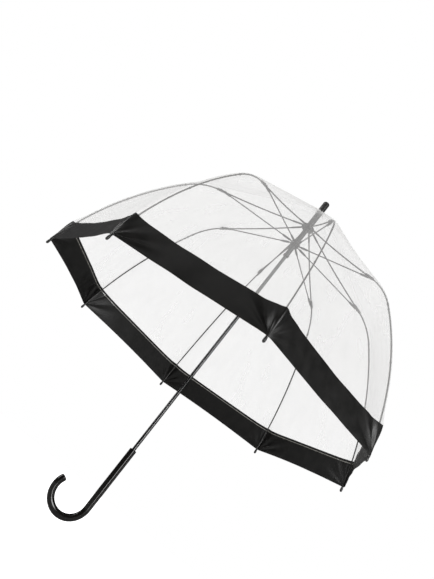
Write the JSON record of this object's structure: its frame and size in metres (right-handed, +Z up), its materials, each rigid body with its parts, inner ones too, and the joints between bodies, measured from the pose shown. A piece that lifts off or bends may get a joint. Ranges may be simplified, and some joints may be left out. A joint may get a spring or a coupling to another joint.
{
  "type": "stick umbrella",
  "caption": "Straight stick umbrella, open: clear dome canopy with a black border on hinged ribs, a sliding runner and a hooked handle.",
  "frame": {"origin": "on the axis of the shaft, level with the lowest point of the hook", "axes": "+Z up the shaft to the ferrule, +X away from the hook, with the canopy open"},
  "size_m": [0.8396, 0.8396, 0.9299],
  "materials": {
    "handle_black": "glossy black moulded plastic",
    "shaft_black": "gloss black lacquered steel tube",
    "hub_black": "satin black moulded plastic",
    "rib_black": "satin black glass-fibre rod",
    "stretcher_black": "black coated steel wire",
    "spring_steel": "plain spring steel",
    "clear_film": "clear soft PVC film",
    "band_black": "black soft PVC film with a satin shine"
  },
  "bodies": {
    "frame": {"shaft": "shaft_black", "handle": "handle_black", "ferrule": "handle_black", "ferrule_base": "hub_black", "apex_washer": "clear_film", "crown": "hub_black", "crown_wire": "spring_steel", "stop_sleeve": "hub_black"},
    "runner": {"runner": "hub_black", "stretcher_pins": "spring_steel"},
    "top_catch": {"top_catch": "spring_steel"},
    "bottom_catch": {"bottom_catch": "spring_steel"},
    "rib_upper_1": {"rib_upper_1": "rib_black", "canopy_top_1": "clear_film"},
    "rib_lower_1": {"rib_lower_1": "rib_black", "canopy_wall_1": "clear_film", "border_band_1": "band_black"},
    "stretcher_1": {"stretcher_1": "stretcher_black"},
    "rib_upper_2": {"rib_upper_2": "rib_black", "canopy_top_2": "clear_film"},
    "rib_lower_2": {"rib_lower_2": "rib_black", "canopy_wall_2": "clear_film", "border_band_2": "band_black"},
    "stretcher_2": {"stretcher_2": "stretcher_black"},
    "rib_upper_3": {"rib_upper_3": "rib_black", "canopy_top_3": "clear_film"},
    "rib_lower_3": {"rib_lower_3": "rib_black", "canopy_wall_3": "clear_film", "border_band_3": "band_black"},
    "stretcher_3": {"stretcher_3": "stretcher_black"},
    "rib_upper_4": {"rib_upper_4": "rib_black", "canopy_top_4": "clear_film"},
    "rib_lower_4": {"rib_lower_4": "rib_black", "canopy_wall_4": "clear_film", "border_band_4": "band_black"},
    "stretcher_4": {"stretcher_4": "stretcher_black"},
    "rib_upper_5": {"rib_upper_5": "rib_black", "canopy_top_5": "clear_film"},
    "rib_lower_5": {"rib_lower_5": "rib_black", "canopy_wall_5": "clear_film", "border_band_5": "band_black"},
    "stretcher_5": {"stretcher_5": "stretcher_black"},
    "rib_upper_6": {"rib_upper_6": "rib_black", "canopy_top_6": "clear_film"},
    "rib_lower_6": {"rib_lower_6": "rib_black", "canopy_wall_6": "clear_film", "border_band_6": "band_black"},
    "stretcher_6": {"stretcher_6": "stretcher_black"},
    "rib_upper_7": {"rib_upper_7": "rib_black", "canopy_top_7": "clear_film"},
    "rib_lower_7": {"rib_lower_7": "rib_black", "canopy_wall_7": "clear_film", "border_band_7": "band_black"},
    "stretcher_7": {"stretcher_7": "stretcher_black"},
    "rib_upper_8": {"rib_upper_8": "rib_black", "canopy_top_8": "clear_film"},
    "rib_lower_8": {"rib_lower_8": "rib_black", "canopy_wall_8": "clear_film", "border_band_8": "band_black"},
    "stretcher_8": {"stretcher_8": "stretcher_black"}
  },
  "joints": [
    {"name": "runner_slide", "type": "slide", "parent": "frame", "child": "runner", "axis": [0, 0, -1], "range_m": [0, 0.3646], "deforming": ["canopy_top_1", "canopy_wall_1", "border_band_1", "canopy_top_2", "canopy_wall_2", "border_band_2", "canopy_top_3", "canopy_wall_3", "border_band_3", "canopy_top_4", "canopy_wall_4", "border_band_4", "canopy_top_5", "canopy_wall_5", "border_band_5", "canopy_top_6", "canopy_wall_6", "border_band_6", "canopy_top_7", "canopy_wall_7", "border_band_7", "canopy_top_8", "canopy_wall_8", "border_band_8", "top_catch", "bottom_catch"]},
    {"name": "top_catch_press", "type": "hinge", "parent": "frame", "child": "top_catch", "pos_m": [0, 0.0026, 0.7203], "axis": [1, 0, 0], "range_deg": [0, 5.08], "stiffness_Nm_per_rad": 1.2},
    {"name": "bottom_catch_press", "type": "hinge", "parent": "frame", "child": "bottom_catch", "pos_m": [0, 0.0026, 0.4676], "axis": [-1, 0, 0], "range_deg": [0, 5.08], "stiffness_Nm_per_rad": 1.2},
    {"name": "rib_1_root", "type": "hinge", "parent": "frame", "child": "rib_upper_1", "pos_m": [-0.0125, 0, 0.842], "axis": [0, -1, 0], "range_deg": [0, 61.97]},
    {"name": "rib_1_flex", "type": "hinge", "parent": "rib_upper_1", "child": "rib_lower_1", "pos_m": [-0.28443, 0, 0.71632], "axis": [0, -1, 0], "range_deg": [-36.72, 0]},
    {"name": "stretcher_1_hinge", "type": "hinge", "parent": "runner", "child": "stretcher_1", "pos_m": [-0.0085, -0.0036, 0.786], "axis": [0, 1, 0], "range_deg": [0, 87.04]},
    {"name": "rib_2_root", "type": "hinge", "parent": "frame", "child": "rib_upper_2", "pos_m": [-0.00884, -0.00884, 0.842], "axis": [0.7071, -0.7071, 0], "range_deg": [0, 61.97]},
    {"name": "rib_2_flex", "type": "hinge", "parent": "rib_upper_2", "child": "rib_lower_2", "pos_m": [-0.20112, -0.20112, 0.71632], "axis": [0.7071, -0.7071, 0], "range_deg": [-36.72, 0]},
    {"name": "stretcher_2_hinge", "type": "hinge", "parent": "runner", "child": "stretcher_2", "pos_m": [-0.00347, -0.00856, 0.786], "axis": [-0.7071, 0.7071, 0], "range_deg": [0, 87.04]},
    {"name": "rib_3_root", "type": "hinge", "parent": "frame", "child": "rib_upper_3", "pos_m": [0, -0.0125, 0.842], "axis": [1, 0, 0], "range_deg": [0, 61.97]},
    {"name": "rib_3_flex", "type": "hinge", "parent": "rib_upper_3", "child": "rib_lower_3", "pos_m": [0, -0.28443, 0.71632], "axis": [1, 0, 0], "range_deg": [-36.72, 0]},
    {"name": "stretcher_3_hinge", "type": "hinge", "parent": "runner", "child": "stretcher_3", "pos_m": [0.0036, -0.0085, 0.786], "axis": [-1, 0, 0], "range_deg": [0, 87.04]},
    {"name": "rib_4_root", "type": "hinge", "parent": "frame", "child": "rib_upper_4", "pos_m": [0.00884, -0.00884, 0.842], "axis": [0.7071, 0.7071, 0], "range_deg": [0, 61.97]},
    {"name": "rib_4_flex", "type": "hinge", "parent": "rib_upper_4", "child": "rib_lower_4", "pos_m": [0.20112, -0.20112, 0.71632], "axis": [0.7071, 0.7071, 0], "range_deg": [-36.72, 0]},
    {"name": "stretcher_4_hinge", "type": "hinge", "parent": "runner", "child": "stretcher_4", "pos_m": [0.00856, -0.00347, 0.786], "axis": [-0.7071, -0.7071, 0], "range_deg": [0, 87.04]},
    {"name": "rib_5_root", "type": "hinge", "parent": "frame", "child": "rib_upper_5", "pos_m": [0.0125, 0, 0.842], "axis": [0, 1, 0], "range_deg": [0, 61.97]},
    {"name": "rib_5_flex", "type": "hinge", "parent": "rib_upper_5", "child": "rib_lower_5", "pos_m": [0.28443, 0, 0.71632], "axis": [0, 1, 0], "range_deg": [-36.72, 0]},
    {"name": "stretcher_5_hinge", "type": "hinge", "parent": "runner", "child": "stretcher_5", "pos_m": [0.0085, 0.0036, 0.786], "axis": [0, -1, 0], "range_deg": [0, 87.04]},
    {"name": "rib_6_root", "type": "hinge", "parent": "frame", "child": "rib_upper_6", "pos_m": [0.00884, 0.00884, 0.842], "axis": [-0.7071, 0.7071, 0], "range_deg": [0, 61.97]},
    {"name": "rib_6_flex", "type": "hinge", "parent": "rib_upper_6", "child": "rib_lower_6", "pos_m": [0.20112, 0.20112, 0.71632], "axis": [-0.7071, 0.7071, 0], "range_deg": [-36.72, 0]},
    {"name": "stretcher_6_hinge", "type": "hinge", "parent": "runner", "child": "stretcher_6", "pos_m": [0.00347, 0.00856, 0.786], "axis": [0.7071, -0.7071, 0], "range_deg": [0, 87.04]},
    {"name": "rib_7_root", "type": "hinge", "parent": "frame", "child": "rib_upper_7", "pos_m": [0, 0.0125, 0.842], "axis": [-1, 0, 0], "range_deg": [0, 61.97]},
    {"name": "rib_7_flex", "type": "hinge", "parent": "rib_upper_7", "child": "rib_lower_7", "pos_m": [0, 0.28443, 0.71632], "axis": [-1, 0, 0], "range_deg": [-36.72, 0]},
    {"name": "stretcher_7_hinge", "type": "hinge", "parent": "runner", "child": "stretcher_7", "pos_m": [-0.0036, 0.0085, 0.786], "axis": [1, 0, 0], "range_deg": [0, 87.04]},
    {"name": "rib_8_root", "type": "hinge", "parent": "frame", "child": "rib_upper_8", "pos_m": [-0.00884, 0.00884, 0.842], "axis": [-0.7071, -0.7071, 0], "range_deg": [0, 61.97]},
    {"name": "rib_8_flex", "type": "hinge", "parent": "rib_upper_8", "child": "rib_lower_8", "pos_m": [-0.20112, 0.20112, 0.71632], "axis": [-0.7071, -0.7071, 0], "range_deg": [-36.72, 0]},
    {"name": "stretcher_8_hinge", "type": "hinge", "parent": "runner", "child": "stretcher_8", "pos_m": [-0.00856, 0.00347, 0.786], "axis": [0.7071, 0.7071, 0], "range_deg": [0, 87.04]}
  ],
  "couplings": [
    {"joint": "rib_1_root", "follows": "runner_slide", "rad_per_m": 2.9663},
    {"joint": "rib_1_flex", "follows": "runner_slide", "rad_per_m": -1.7576},
    {"joint": "stretcher_1_hinge", "follows": "runner_slide", "rad_per_m": 4.1665},
    {"joint": "rib_2_root", "follows": "runner_slide", "rad_per_m": 2.9663},
    {"joint": "rib_2_flex", "follows": "runner_slide", "rad_per_m": -1.7576},
    {"joint": "stretcher_2_hinge", "follows": "runner_slide", "rad_per_m": 4.1665},
    {"joint": "rib_3_root", "follows": "runner_slide", "rad_per_m": 2.9663},
    {"joint": "rib_3_flex", "follows": "runner_slide", "rad_per_m": -1.7576},
    {"joint": "stretcher_3_hinge", "follows": "runner_slide", "rad_per_m": 4.1665},
    {"joint": "rib_4_root", "follows": "runner_slide", "rad_per_m": 2.9663},
    {"joint": "rib_4_flex", "follows": "runner_slide", "rad_per_m": -1.7576},
    {"joint": "stretcher_4_hinge", "follows": "runner_slide", "rad_per_m": 4.1665},
    {"joint": "rib_5_root", "follows": "runner_slide", "rad_per_m": 2.9663},
    {"joint": "rib_5_flex", "follows": "runner_slide", "rad_per_m": -1.7576},
    {"joint": "stretcher_5_hinge", "follows": "runner_slide", "rad_per_m": 4.1665},
    {"joint": "rib_6_root", "follows": "runner_slide", "rad_per_m": 2.9663},
    {"joint": "rib_6_flex", "follows": "runner_slide", "rad_per_m": -1.7576},
    {"joint": "stretcher_6_hinge", "follows": "runner_slide", "rad_per_m": 4.1665},
    {"joint": "rib_7_root", "follows": "runner_slide", "rad_per_m": 2.9663},
    {"joint": "rib_7_flex", "follows": "runner_slide", "rad_per_m": -1.7576},
    {"joint": "stretcher_7_hinge", "follows": "runner_slide", "rad_per_m": 4.1665},
    {"joint": "rib_8_root", "follows": "runner_slide", "rad_per_m": 2.9663},
    {"joint": "rib_8_flex", "follows": "runner_slide", "rad_per_m": -1.7576},
    {"joint": "stretcher_8_hinge", "follows": "runner_slide", "rad_per_m": 4.1665}
  ]
}
